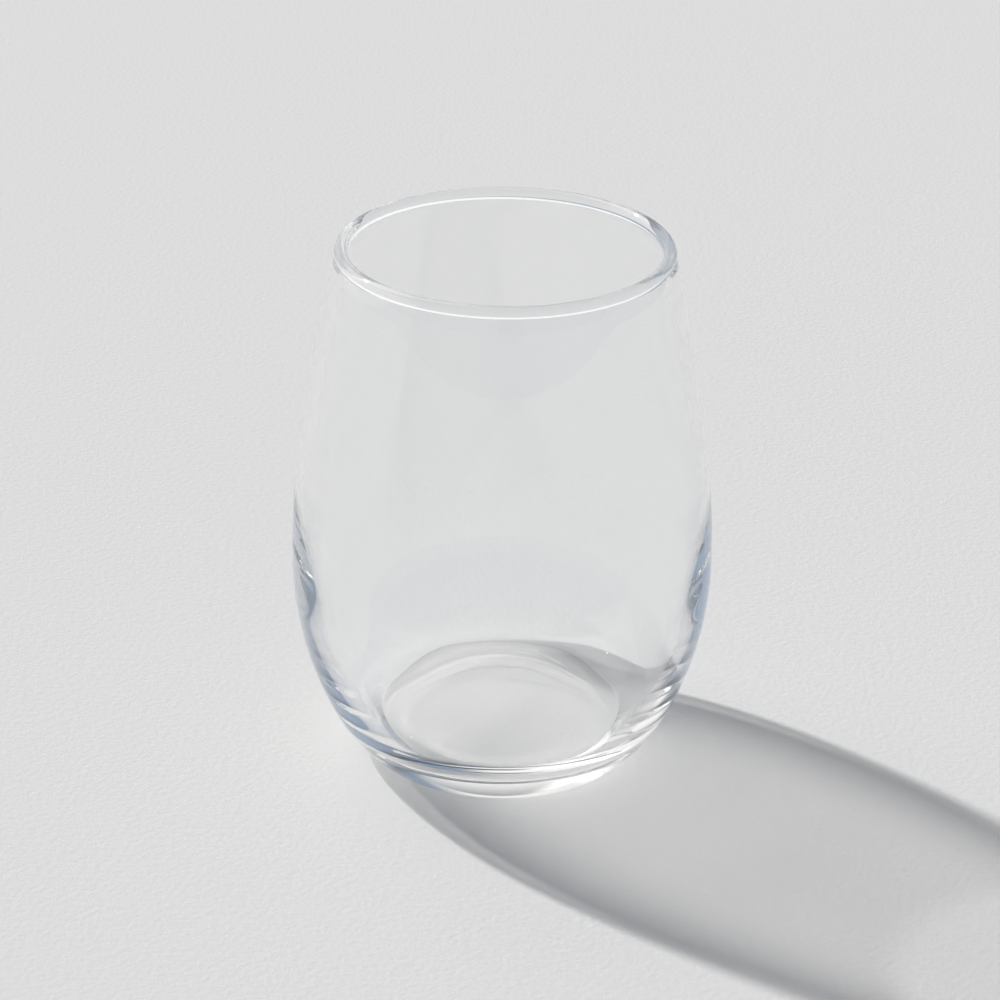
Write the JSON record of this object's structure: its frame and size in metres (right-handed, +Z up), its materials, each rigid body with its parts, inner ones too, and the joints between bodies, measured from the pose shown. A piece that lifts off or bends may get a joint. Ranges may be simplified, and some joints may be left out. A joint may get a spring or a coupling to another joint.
{
  "type": "stemless wine glass",
  "caption": "Clear stemless wine glass: egg-shaped bowl with a narrower mouth, rounded rim bead and a thick flat base.",
  "frame": {"origin": "middle of the foot, on the surface that the glass stands on", "axes": "+Z up along the axis of the glass; X and Y are free, because the glass is round"},
  "size_m": [0.0846, 0.0846, 0.108],
  "materials": {
    "clear_glass": "fire-polished, clear and colourless"
  },
  "bodies": {
    "root": {"base": "clear_glass", "lower_bowl": "clear_glass", "upper_bowl": "clear_glass", "rim_bead": "clear_glass"}
  },
  "joints": []
}
